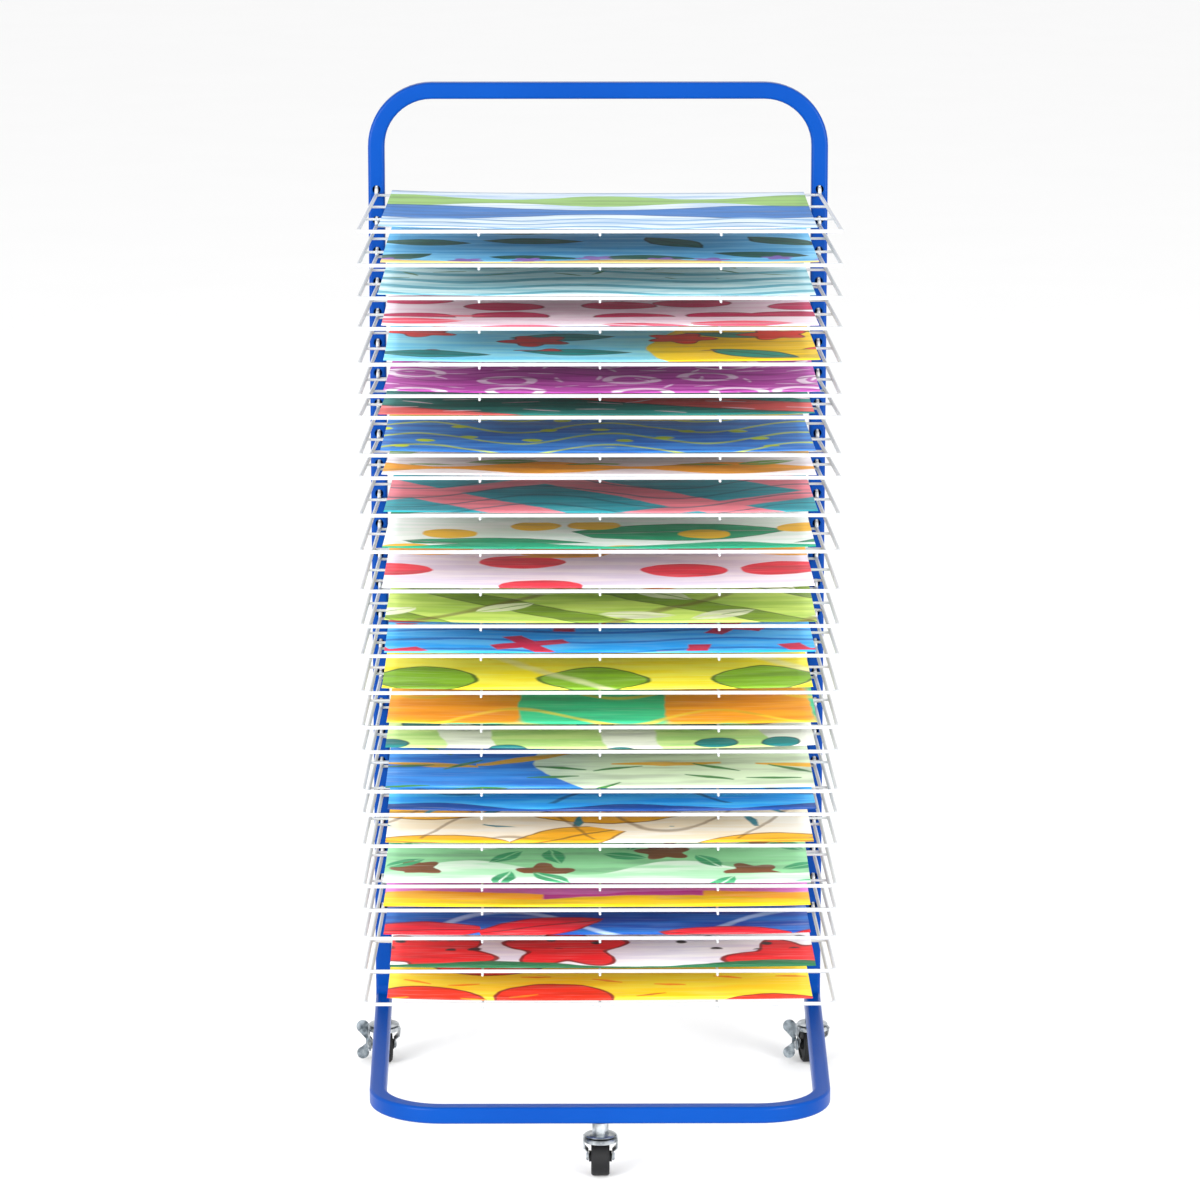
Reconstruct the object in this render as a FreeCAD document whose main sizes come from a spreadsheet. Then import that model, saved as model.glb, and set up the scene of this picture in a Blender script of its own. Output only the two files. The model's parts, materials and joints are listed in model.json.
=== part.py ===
"""Wheeled art drying rack: a bent tube frame, 25 hinged wire shelves with paper, three casters.

Frame: +X to the right of someone facing the rack, +Y to the back, +Z up.
Origin: on the floor, midway between the uprights and the front bar.
"""
import FreeCAD, Part
import math
import os
import Sketcher
from FreeCAD import Placement, Rotation, Vector

SIZES = {
    "running_gap": 0.3,
    # casters
    "wheel_diameter": 36.0,
    "wheel_width": 17.0,
    "wheel_room": 3.2,              # from the wheel's top to the crown
    "wheel_side_room": 2.5,
    "caster_inset": 24.0,           # rear stems, in front of the uprights' centre
    "caster_trail": 12.0,
    "stem_diameter": 8.0,
    "stem_reach": 11.0,             # how far the stem stands up inside the tube
    "stem_nut": 13.0,
    "stem_nut_height": 10.6,
    "head_rim": 2.5,
    "head_height": 1.8,
    "cap_diameter": 30.4,
    "cap_plate": 2.4,
    "cap_edge": 0.8,
    "race_diameter": 20.0,
    "race_height": 1.2,
    "crown_diameter": 32.0,
    "crown_plate": 1.6,
    "caster_height": "=wheel_diameter + wheel_room + crown_plate + race_height + cap_plate + stem_nut_height",
    "crown_skirt": 2.1,
    "crown_edge": 0.9,
    "fork_plate": 1.4,
    "fork_inside": "=wheel_width + 2 * wheel_side_room",
    "leg_front": 9.0,               # the legs' front and back edges under the crown, from the stem
    "leg_back": 9.0,
    "leg_rise": 7.0,                # from the axle to where the legs start to flare out
    "leg_waist": "=wheel_diameter / 2 + leg_rise",
    "leg_flare": 4.5,
    "leg_eye": 4.0,
    "axle_diameter": 5.0,
    "axle_head": 1.6,
    "axle_head_height": 1.2,
    "axle_gap": 0.1,
    "wheel_edge": 1.5,
    "wheel_recess": 1.2,
    "rim_wall": 4.0,
    "hub_wall": 2.6,
    # frame
    "frame_width": 447.0,
    "frame_height": 984.0,
    "base_depth": 386.0,            # from the uprights' centre to the front bar's centre
    "tube_side": 16.0,
    "tube_wall": 1.2,
    "tube_corner": 3.0,
    "top_bend": 54.0,
    "base_bend": 62.0,
    "base_lean": 1.2,               # degrees that each side tube turns inwards on its way forward
    "rise_bend": 16.0,              # centre line of the bend from side tube to upright
    "stub_height": 30.0,            # from the tubes' underside to where the uprights sit on the stubs
    "joint_height": "=caster_height + stub_height",
    "spigot_root": 12.0,
    "spigot_height": 40.0,
    "spigot_gap": 0.5,
    # shelf holes in the uprights
    "handle_room": 103.5,           # from the top hole to the top of the frame
    "lowest_rise": 75.5,            # from the joint to the lowest hole
    "shelf_count": 25,
    "first_hole": "=frame_height - handle_room",
    "hole_pitch": "=(first_hole - joint_height - lowest_rise) / (shelf_count - 1)",
    "hole_radius": 4.0,
    # shelves
    "shelf_depth": 312.0,
    "shelf_inset": 1.5,
    "shelf_width": "=frame_width - 2 * shelf_inset",
    "rim_wire": 3.5,
    "grid_wire": 2.5,
    "shelf_bend": 8.0,
    "hook_drop": 5.0,
    "hook_tail": 7.0,
    "hook_gap": 0.7,                # from the tube's wall to the tail inside it
    "face_gap": 0.5,                # from the tube's wall to the wire in front of it
    "cross_wires": 3,
    "grid_bars": 3,                 # bars from front to back, evenly spaced
    "wire_tip": 3.0,                # how far the bars reach past the front rail
    # paper
    "paper_side_room": 22.0,
    "paper_front_room": 4.0,        # from the rail back to the sheet's front edge
    "paper_back_room": 4.5,
    "paper_width": "=shelf_width - 2 * paper_side_room",
    "paper_depth": "=shelf_depth - rim_wire - paper_front_room - paper_back_room",
    "paper_thickness": 0.4,
    # brake pedals
    "brake_plate": 1.5,
    "web_front": 4.5,
    "web_back": 6.4,
    "web_half": 5.0,
    "pedal_out": 7.0,               # lobe centres, outwards from the web
    "pedal_waist": 4.0,
    "upper_reach": 18.0,            # lobe centres above and below the axle
    "upper_lobe": 6.4,
    "lower_lobe": 6.0,
    "pedal_lift": 2.5,              # from the floor to the lower lobe
    "lower_reach": "=wheel_diameter / 2 - pedal_lift - lower_lobe",
}

# How far each shelf's front edge hangs below level, from the top shelf down.
SHELF_SAGS = [-1, 0, 0, -2, 1, 0, -10, -5, -14, -9, -5, 2, 5, 3, 8, 11, 4, 12, 4, 4, 13, 6, 3, 5, 7]

CASTER_TURNS = {"rear_left": 8.0, "rear_right": 10.0, "front": 0.0}
WIRE_FACES = 8      # the shelf wires are eight-sided, flats up, which keeps 25 shelves light
ORIGIN = Vector(0, 0, 0)
UP = Vector(0, 0, 1)

# Places that several pieces share, as formulas on the sheet.
HALF_SPAN = "(Sizes.frame_width - Sizes.tube_side) / 2"
REAR = "Sizes.base_depth / 2"
TUBE_INSIDE = "(Sizes.tube_side - 2 * Sizes.tube_wall)"
BASE_LEVEL = "(Sizes.caster_height + Sizes.tube_side / 2)"
AXLE_LEVEL = "Sizes.wheel_diameter / 2"
CAP_TOP = "(Sizes.caster_height - Sizes.stem_nut_height)"
CAP_BOTTOM = f"({CAP_TOP} - Sizes.cap_plate)"
CROWN_TOP = f"({CAP_BOTTOM} - Sizes.race_height)"
CROWN_BOTTOM = f"({CROWN_TOP} - Sizes.crown_plate)"
LEG_OUT = "(Sizes.fork_inside / 2 + Sizes.fork_plate)"
CROWN_RADIUS = "Sizes.crown_diameter / 2"

doc = FreeCAD.newDocument("drying_rack")
sheet = doc.addObject("Spreadsheet::Sheet", "Sizes")


def fill_sheet():
    """Put every size in the sheet, with its name as the cell's alias. Text is a formula there."""
    sags = {f"sag_shelf_{number:02d}": 0 for number in range(1, SIZES["shelf_count"] + 1)}
    sags.update({f"sag_shelf_{number:02d}": value for number, value in enumerate(SHELF_SAGS, start=1)})
    for row, (name, value) in enumerate({**SIZES, **sags}.items(), start=1):
        sheet.set(f"A{row}", name)
        sheet.set(f"B{row}", str(value))
        sheet.setAlias(f"B{row}", name)
    doc.recompute()


def measure(expression):
    """What a formula on the sheet comes to, as a plain number."""
    value = sheet.evalExpression(expression)
    return float(getattr(value, "Value", value))


def size(name):
    """The sheet's value for one alias."""
    return float(getattr(sheet, name))


def bind(item, **expressions):
    """Tie properties to the sheet. A double underscore stands for a dot in the property's path."""
    for path, expression in expressions.items():
        item.setExpression(path.replace("__", "."), expression)


def new_body(name):
    """An empty PartDesign body whose label names its file."""
    body = doc.addObject("PartDesign::Body", name)
    body.Label = name
    return body


def origin_plane(body, role):
    """One of the body's own origin planes or axes."""
    return next(item for item in body.Origin.OriginFeatures if item.Role == role)


def new_sketch(body, name, role, x="0", y="0", z="0", turn=None):
    """A sketch on an origin plane of the body, moved within that plane's own axes.

    turn is (axis, expression in degrees), also within the plane's own axes.
    """
    sketch = body.newObject("Sketcher::SketchObject", name)
    sketch.AttachmentSupport = (origin_plane(body, role), [""])
    sketch.MapMode = "FlatFace"
    if turn:
        sketch.AttachmentOffset = Placement(ORIGIN, Rotation(turn[0], 1))
        sketch.setExpression("AttachmentOffset.Rotation.Angle", turn[1])
    for axis, expression in (("x", x), ("y", y), ("z", z)):
        sketch.setExpression(f"AttachmentOffset.Base.{axis}", expression)
    doc.recompute()
    return sketch


def line(sketch, start, end):
    return sketch.addGeometry(Part.LineSegment(Vector(*start, 0), Vector(*end, 0)), False)


def arc(sketch, centre, radius, start, end):
    circle = Part.Circle(Vector(*centre, 0), UP, radius)
    return sketch.addGeometry(Part.ArcOfCircle(circle, start, end), False)


def hold(sketch, kind, *where, to=None):
    """Add one constraint. A dimension follows the formula that it is held to."""
    if to is None:
        sketch.addConstraint(Sketcher.Constraint(kind, *where))
        return
    index = sketch.addConstraint(Sketcher.Constraint(kind, *where, measure(to)))
    sketch.setExpression(f"Constraints[{index}]", to)


def pin(sketch, edge, end, x, y):
    """Hold one point of an edge at a place given by two formulas.

    Constraints know a sketch's horizontal axis as -1, its vertical axis as -2, its origin as -1, 1.
    """
    for kind, place, axis in (("DistanceX", x, -2), ("DistanceY", y, -1)):
        if place == "0":
            hold(sketch, "PointOnObject", edge, end, axis)
        else:
            hold(sketch, kind, -1, 1, edge, end, to=place)


def disc(sketch, x, y, radius):
    """A circle whose centre and radius follow formulas."""
    circle = Part.Circle(Vector(measure(x), measure(y), 0), UP, measure(radius))
    edge = sketch.addGeometry(circle, False)
    hold(sketch, "Radius", edge, to=radius)
    pin(sketch, edge, 3, x, y)


def outline(sketch, corners):
    """A closed outline of straight lines. Each corner is two formulas."""
    points = [(measure(x), measure(y)) for x, y in corners]
    edges = [line(sketch, start, end) for start, end in zip(points, points[1:] + points[:1])]
    for edge, after in zip(edges, edges[1:] + edges[:1]):
        hold(sketch, "Coincident", edge, 2, after, 1)
    for edge, (x, y) in zip(edges, corners):
        pin(sketch, edge, 1, x, y)


def square(sketch, side):
    """A square about the sketch's origin."""
    half = f"({side}) / 2"
    outline(sketch, [(f"-{half}", half), (half, half), (half, f"-{half}"), (f"-{half}", f"-{half}")])


def rounded_square(sketch, side_size, corner_size):
    """A square with round corners about the sketch's origin."""
    half, corner = measure(side_size) / 2, measure(corner_size)
    flat = half - corner
    top = line(sketch, (-flat, half), (flat, half))
    right = line(sketch, (half, flat), (half, -flat))
    bottom = line(sketch, (flat, -half), (-flat, -half))
    left = line(sketch, (-half, -flat), (-half, flat))
    quarter = math.pi / 2
    corners = [
        arc(sketch, (flat, flat), corner, 0, quarter),
        arc(sketch, (flat, -flat), corner, 3 * quarter, 4 * quarter),
        arc(sketch, (-flat, -flat), corner, 2 * quarter, 3 * quarter),
        arc(sketch, (-flat, flat), corner, quarter, 2 * quarter),
    ]
    sides = [top, right, bottom, left]
    for bend, before, after in zip(corners, sides, sides[1:] + sides[:1]):
        hold(sketch, "Tangent", bend, 2, before, 2)
        hold(sketch, "Tangent", bend, 1, after, 1)
    for level, upright in ((top, left), (bottom, right)):
        hold(sketch, "Horizontal", level)
        hold(sketch, "Vertical", upright)
    for bend in corners[1:]:
        hold(sketch, "Equal", corners[0], bend)
    hold(sketch, "Radius", corners[0], to=corner_size)
    hold(sketch, "Symmetric", top, 1, bottom, 1, -1, 1)
    hold(sketch, "DistanceX", left, 1, right, 1, to=side_size)
    hold(sketch, "DistanceY", bottom, 1, top, 1, to=side_size)


def bent_u(sketch, foot_x, foot_y, bend_x, far_y, radius):
    """A U with round corners, open at its feet and symmetric about the sketch's vertical axis.

    foot_x and foot_y place the left foot, bend_x is the leg's x where its bend starts and far_y
    the cross run's y.
    """
    start_x, start_y, near_x, end_y = measure(foot_x), measure(foot_y), measure(bend_x), measure(far_y)
    bend = measure(radius)
    run = math.copysign(1, end_y - start_y)
    lean = 0.0
    for _ in range(20):     # the leg's lean and the bend's start depend on each other
        bend_y = end_y - run * bend * (1 - math.sin(lean))
        lean = math.atan2(near_x - start_x, abs(bend_y - start_y))
    centre_x, centre_y = near_x + bend * math.cos(lean), end_y - run * bend
    left = line(sketch, (start_x, start_y), (near_x, bend_y))
    cross = line(sketch, (centre_x, end_y), (-centre_x, end_y))
    right = line(sketch, (-near_x, bend_y), (-start_x, start_y))
    quarter = math.pi / 2
    if run > 0:
        first = arc(sketch, (centre_x, centre_y), bend, quarter, 2 * quarter)
        second = arc(sketch, (-centre_x, centre_y), bend, 0, quarter)
        joints = ((first, 2, left, 2), (first, 1, cross, 1), (second, 2, cross, 2), (second, 1, right, 1))
    else:
        first = arc(sketch, (centre_x, centre_y), bend, 2 * quarter, 3 * quarter)
        second = arc(sketch, (-centre_x, centre_y), bend, 3 * quarter, 4 * quarter)
        joints = ((first, 1, left, 2), (first, 2, cross, 1), (second, 1, cross, 2), (second, 2, right, 1))
    for joint in joints:
        hold(sketch, "Tangent", *joint)
    hold(sketch, "Horizontal", cross)
    hold(sketch, "Radius", first, to=radius)
    hold(sketch, "Symmetric", left, 1, right, 2, -2)
    hold(sketch, "Symmetric", left, 2, right, 1, -2)
    pin(sketch, left, 1, foot_x, foot_y)
    hold(sketch, "DistanceX", -1, 1, left, 2, to=bend_x)
    hold(sketch, "DistanceY", -1, 1, cross, 1, to=far_y)


def tube_section(sketch):
    """The frame tube's wall."""
    rounded_square(sketch, "Sizes.tube_side", "Sizes.tube_corner")
    square(sketch, TUBE_INSIDE)


def pipe_along(body, section, path):
    """Sweep a closed sketch along a path sketch."""
    pipe = body.newObject("PartDesign::AdditivePipe", "Tube")
    pipe.Profile = section
    pipe.Spine = path
    pipe.Mode = "Standard"
    doc.recompute()
    return pipe


def padded(body, name, sketch, length):
    """A pad of a sketch, as long as a formula says."""
    pad = body.newObject("PartDesign::Pad", name)
    pad.Profile = sketch
    bind(pad, Length=length)
    doc.recompute()
    return pad


def pocketed(body, name, sketch, reverse=False):
    """Cut a sketch's outlines through one wall of a tube."""
    doc.recompute()
    before = body.Shape.Volume
    pocket = body.newObject("PartDesign::Pocket", name)
    pocket.Profile = sketch
    pocket.Reversed = reverse
    bind(pocket, Length="2 * Sizes.tube_wall")
    doc.recompute()
    if body.Shape.Volume > before - 1:
        raise RuntimeError(f"{name} cut nothing")
    return pocket


def revolved(body, name, corners):
    """A full turn about Z of a closed outline in the XZ plane, given as (radius, height) formulas."""
    sketch = new_sketch(body, name + "Outline", "XZ_Plane")
    outline(sketch, corners)
    turned = body.newObject("PartDesign::Revolution", name)
    turned.Profile = sketch
    turned.ReferenceAxis = (sketch, ["V_Axis"])
    turned.Angle = 360
    doc.recompute()


def make_upper_frame():
    """Inverted U of square tube with a column of shelf holes in each front wall."""
    body = new_body("upper_frame")
    path = new_sketch(body, "UprightPath", "XZ_Plane")
    left, top = f"-{HALF_SPAN}", "Sizes.frame_height - Sizes.tube_side / 2"
    bent_u(path, left, "Sizes.joint_height", left, top, "Sizes.top_bend")
    section = new_sketch(body, "UprightSection", "XY_Plane", x=left, z="Sizes.joint_height")
    tube_section(section)
    pipe_along(body, section, path)

    holes = new_sketch(body, "ShelfHoles", "XZ_Plane", z="Sizes.tube_side / 2")
    for side in (left, HALF_SPAN):
        disc(holes, side, "Sizes.first_hole", "Sizes.hole_radius")
    pair = pocketed(body, "HolePair", holes)
    pattern = body.newObject("PartDesign::LinearPattern", "HoleColumn")
    pattern.Originals = [pair]
    pattern.Direction = (holes, ["V_Axis"])
    pattern.Reversed = True
    bind(pattern, Occurrences="Sizes.shelf_count", Length="(Sizes.shelf_count - 1) * Sizes.hole_pitch")
    body.Tip = pattern
    bind(body, Placement__Base__y=REAR)
    doc.recompute()
    return body


def side_path(body):
    """Left side tube's centre line: down the stub, round the knee and forward to the front bend."""
    lean = "Sizes.base_lean"
    leg = f"(Sizes.base_depth - Sizes.base_bend * (1 - sin({lean}))) / cos({lean})"
    sketch = new_sketch(body, "SidePath", "YZ_Plane", x=REAR, y=BASE_LEVEL, z=f"-{HALF_SPAN}",
                        turn=(Vector(0, 1, 0), lean))
    rise = f"Sizes.joint_height - {BASE_LEVEL}"
    bend = size("rise_bend")
    stub = line(sketch, (0, measure(rise)), (0, bend))
    knee = arc(sketch, (-bend, bend), bend, 1.5 * math.pi, 2 * math.pi)
    run = line(sketch, (-bend, 0), (-measure(leg), 0))
    hold(sketch, "Tangent", stub, 2, knee, 2)
    hold(sketch, "Tangent", knee, 1, run, 1)
    hold(sketch, "Vertical", stub)
    hold(sketch, "Radius", knee, to="Sizes.rise_bend")
    pin(sketch, stub, 1, "0", rise)
    pin(sketch, run, 2, f"-({leg})", "0")
    hold(sketch, "PointOnObject", run, 1, -1)
    return sketch, leg


def front_path(body, leg):
    """Front bar's centre line, from the middle to where the left side tube ends."""
    lean = math.radians(size("base_lean"))
    corner_x = f"-{HALF_SPAN} + {leg} * sin(Sizes.base_lean)"
    corner_y = f"{REAR} - {leg} * cos(Sizes.base_lean)"
    sketch = new_sketch(body, "FrontPath", "XY_Plane", z=BASE_LEVEL)
    radius, front_y = size("base_bend"), -measure(REAR)
    centre = (measure(corner_x) + radius * math.cos(lean), front_y + radius)
    cross = line(sketch, (0, front_y), (centre[0], front_y))
    bend = arc(sketch, centre, radius, math.pi + lean, 1.5 * math.pi)
    hold(sketch, "Tangent", cross, 2, bend, 2)
    hold(sketch, "Horizontal", cross)
    hold(sketch, "Radius", bend, to="Sizes.base_bend")
    pin(sketch, cross, 1, "0", f"-{REAR}")
    pin(sketch, bend, 1, corner_x, corner_y)
    return sketch


def make_base_frame():
    """U of square tube lying flat. Its rear ends bend up into stubs with a spigot for each upright."""
    body = new_body("base_frame")
    side, leg = side_path(body)
    stub_place = {"x": f"-{HALF_SPAN}", "y": REAR, "turn": (UP, "Sizes.base_lean")}
    stub = new_sketch(body, "StubSection", "XY_Plane", z="Sizes.joint_height", **stub_place)
    tube_section(stub)
    made = [pipe_along(body, stub, side)]

    front = front_path(body, leg)
    section = new_sketch(body, "FrontSection", "YZ_Plane", x=f"-{REAR}", y=BASE_LEVEL)
    tube_section(section)
    made.append(pipe_along(body, section, front))

    root = "Sizes.joint_height - Sizes.spigot_root"
    for name, side_size, length in (
        ("SpigotRoot", TUBE_INSIDE, "Sizes.spigot_root"),
        ("Spigot", f"{TUBE_INSIDE} - 2 * Sizes.spigot_gap", "Sizes.spigot_root + Sizes.spigot_height"),
    ):
        post = new_sketch(body, name + "Outline", "XY_Plane", z=root, **stub_place)
        square(post, side_size)
        made.append(padded(body, name, post, length))

    mirror = body.newObject("PartDesign::Mirrored", "RightHalf")
    mirror.Originals = made
    mirror.MirrorPlane = (origin_plane(body, "YZ_Plane"), [""])
    body.Tip = mirror
    doc.recompute()

    stems = new_sketch(body, "StemHoles", "XY_Plane", z="Sizes.caster_height")
    for x, y in stem_places().values():
        disc(stems, x, y, "Sizes.stem_diameter / 2 + Sizes.running_gap")
    pocketed(body, "StemPocket", stems, reverse=True)
    return body


def make_frame():
    """Upper and base frame, pushed together, as one painted group."""
    frame = doc.addObject("Part::Compound", "tube_frame")
    frame.Label = "tube_frame"
    frame.Links = [make_upper_frame(), make_base_frame()]
    doc.recompute()
    return frame


def stem_places():
    """Where each caster's stem stands, as formulas."""
    across = f"({HALF_SPAN} - Sizes.caster_inset * tan(Sizes.base_lean))"
    rear = f"{REAR} - Sizes.caster_inset"
    return {
        "rear_left": (f"-{across}", rear),
        "rear_right": (across, rear),
        "front": ("0", f"-{REAR}"),
    }


def caster_placement(name):
    """The caster's own frame: stem axis on Z, wheel trailing to +Y, then turned about the stem."""
    x, y = stem_places()[name]
    return Placement(Vector(measure(x), measure(y), 0), Rotation(UP, CASTER_TURNS[name]))


def axle_placement():
    """Within the caster's frame, a piece turned about Z is laid along the axle."""
    return Placement(Vector(0, size("caster_trail"), measure(AXLE_LEVEL)), Rotation(Vector(0, 1, 0), 90))


def make_caster_mount():
    """Stem, tall nut, race cap and retaining head of one caster, as one riveted piece."""
    body = new_body("caster_mount_master")
    stem, cap = "Sizes.stem_diameter / 2", "Sizes.cap_diameter / 2"
    head = f"{stem} + Sizes.head_rim"
    head_top = f"{CROWN_BOTTOM} - Sizes.running_gap"
    race_low = f"{CROWN_TOP} + Sizes.running_gap"
    stem_top = "Sizes.caster_height + Sizes.stem_reach"
    revolved(body, "StemAndCap", [
        ("0", f"{head_top} - Sizes.head_height"),
        (head, f"{head_top} - Sizes.head_height"),
        (head, head_top),
        (stem, head_top),
        (stem, race_low),
        ("Sizes.race_diameter / 2", race_low),
        ("Sizes.race_diameter / 2 + Sizes.race_height", CAP_BOTTOM),
        (f"{cap} - Sizes.cap_edge", CAP_BOTTOM),
        (cap, f"{CAP_BOTTOM} + Sizes.cap_edge"),
        (f"{cap} - Sizes.cap_edge", f"{CAP_BOTTOM} + 2 * Sizes.cap_edge"),
        ("Sizes.race_diameter / 2", CAP_TOP),
        (stem, CAP_TOP),
        (stem, stem_top),
        ("0", stem_top),
    ])
    nut = new_sketch(body, "NutOutline", "XY_Plane", z=CAP_TOP)
    corner = "Sizes.stem_nut / sqrt(3)"
    flat = "Sizes.stem_nut / 2"
    outline(nut, [
        (corner, "0"), (f"{corner} / 2", flat), (f"-{corner} / 2", flat),
        (f"-{corner}", "0"), (f"-{corner} / 2", f"-{flat}"), (f"{corner} / 2", f"-{flat}"),
    ])
    padded(body, "Nut", nut, "Sizes.stem_nut_height")
    return body


def leg_outline(sketch):
    """A fork leg seen from the side: wide at the crown, narrowing to a round eye at the axle."""
    trail, level, eye = size("caster_trail"), measure(AXLE_LEVEL), size("leg_eye")
    top = measure(CROWN_TOP)
    front_top, back_top = (-size("leg_front"), top), (size("leg_back"), top)

    def touch(point, side):
        across, up = point[0] - trail, point[1] - level
        angle = math.atan2(up, across) + side * math.acos(eye / math.hypot(across, up))
        return angle, (trail + eye * math.cos(angle), level + eye * math.sin(angle))

    front_angle, front_touch = touch(front_top, 1)
    back_angle, back_touch = touch(back_top, -1)
    crown_edge = line(sketch, back_top, front_top)
    front_edge = line(sketch, front_top, front_touch)
    bend = arc(sketch, (trail, level), eye, front_angle, back_angle + 2 * math.pi)
    back_edge = line(sketch, back_touch, back_top)
    hold(sketch, "Coincident", crown_edge, 2, front_edge, 1)
    hold(sketch, "Tangent", front_edge, 2, bend, 1)
    hold(sketch, "Tangent", bend, 2, back_edge, 1)
    hold(sketch, "Coincident", back_edge, 2, crown_edge, 1)
    hold(sketch, "Radius", bend, to="Sizes.leg_eye")
    pin(sketch, bend, 3, "Sizes.caster_trail", AXLE_LEVEL)
    pin(sketch, crown_edge, 1, "Sizes.leg_back", CROWN_TOP)
    pin(sketch, crown_edge, 2, "-Sizes.leg_front", CROWN_TOP)
    disc(sketch, "Sizes.caster_trail", AXLE_LEVEL, "(Sizes.axle_diameter + Sizes.axle_gap) / 2")


def make_leg(name):
    """Right fork leg: a strip bent in at its waist, trimmed to the leg's side outline."""
    inside, outside = "Sizes.fork_inside / 2", LEG_OUT
    skirt_inside = f"{CROWN_RADIUS} - Sizes.fork_plate"
    flare_top = "Sizes.leg_waist + Sizes.leg_flare"
    strip = new_body(f"{name}_leg_strip")
    profile = new_sketch(strip, "StripOutline", "XZ_Plane", z="-(Sizes.caster_trail + Sizes.leg_eye)")
    outline(profile, [
        (inside, f"{AXLE_LEVEL} - Sizes.leg_eye"), (outside, f"{AXLE_LEVEL} - Sizes.leg_eye"),
        (outside, "Sizes.leg_waist"), (CROWN_RADIUS, flare_top),
        (CROWN_RADIUS, f"{CROWN_TOP} - Sizes.crown_edge"),
        (f"{CROWN_RADIUS} - Sizes.crown_edge", CROWN_TOP), (inside, CROWN_TOP), (inside, CROWN_BOTTOM),
        (skirt_inside, CROWN_BOTTOM), (skirt_inside, flare_top), (inside, "Sizes.leg_waist"),
    ])
    padded(strip, "Strip", profile, "Sizes.caster_trail + Sizes.leg_eye + Sizes.leg_front")
    blank = new_body(f"{name}_leg_blank")
    side = new_sketch(blank, "SideOutline", "YZ_Plane")
    leg_outline(side)
    padded(blank, "Blank", side, CROWN_RADIUS)
    leg = doc.addObject("Part::Common", f"{name}_leg")
    leg.Base = strip
    leg.Tool = blank
    doc.recompute()
    return leg


def make_axle(name, braked):
    """A rivet through both legs, longer on the brake's side."""
    body = new_body(f"{name}_axle")
    radius = "Sizes.axle_diameter / 2"
    head = f"{radius} + Sizes.axle_head"
    left = f"{LEG_OUT} + Sizes.brake_plate + 2 * Sizes.running_gap" if braked else LEG_OUT
    revolved(body, "Rivet", [
        ("0", f"-({left} + Sizes.axle_head_height)"), (radius, f"-({left} + Sizes.axle_head_height)"),
        (head, f"-({left})"), (radius, f"-({left})"), (radius, LEG_OUT), (head, LEG_OUT),
        (radius, f"{LEG_OUT} + Sizes.axle_head_height"), ("0", f"{LEG_OUT} + Sizes.axle_head_height"),
    ])
    body.Placement = axle_placement()
    return body


def make_fork(name):
    """Crown, two legs and the riveted axle of one caster."""
    crown = new_body(f"{name}_crown")
    bore = "Sizes.stem_diameter / 2 + Sizes.running_gap"
    skirt = f"{CROWN_BOTTOM} - Sizes.crown_skirt"
    revolved(crown, "Crown", [
        (bore, CROWN_BOTTOM), (f"{CROWN_RADIUS} - Sizes.fork_plate", CROWN_BOTTOM),
        (f"{CROWN_RADIUS} - Sizes.fork_plate", skirt), (CROWN_RADIUS, skirt),
        (CROWN_RADIUS, f"{CROWN_TOP} - Sizes.crown_edge"),
        (f"{CROWN_RADIUS} - Sizes.crown_edge", CROWN_TOP), (bore, CROWN_TOP),
    ])
    right_leg = make_leg(name)
    left_leg = doc.addObject("Part::Mirroring", f"{name}_left_leg")
    left_leg.Source = right_leg
    left_leg.Normal = Vector(1, 0, 0)
    pressing = doc.addObject("Part::MultiFuse", f"{name}_pressing")
    pressing.Shapes = [crown, right_leg, left_leg]
    fork = doc.addObject("Part::Compound", f"{name}_fork")
    fork.Label = f"{name}_fork"
    fork.Links = [pressing, make_axle(name, braked=name != "caster_front")]
    doc.recompute()
    return fork


def make_wheel(name):
    """Solid wheel with chamfered tread, sunk sides and a hub that fills the fork."""
    body = new_body(f"{name}_wheel")
    radius, half = "Sizes.wheel_diameter / 2", "Sizes.wheel_width / 2"
    hub = "(Sizes.fork_inside / 2 - Sizes.running_gap)"
    bore = "Sizes.axle_diameter / 2 + Sizes.axle_gap"
    shoulder = f"{radius} - Sizes.wheel_edge"
    rim = f"{radius} - Sizes.rim_wall"
    boss = f"{bore} + Sizes.hub_wall"
    floor = f"({half} - Sizes.wheel_recess)"
    flank = f"({half} - Sizes.wheel_edge)"
    right_half = [
        (radius, flank), (shoulder, half), (rim, half), (rim, floor), (boss, floor), (boss, hub), (bore, hub),
    ]
    left_half = [(across, f"-{along}") for across, along in reversed(right_half)]
    revolved(body, "Wheel", right_half + left_half)
    return body


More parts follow.
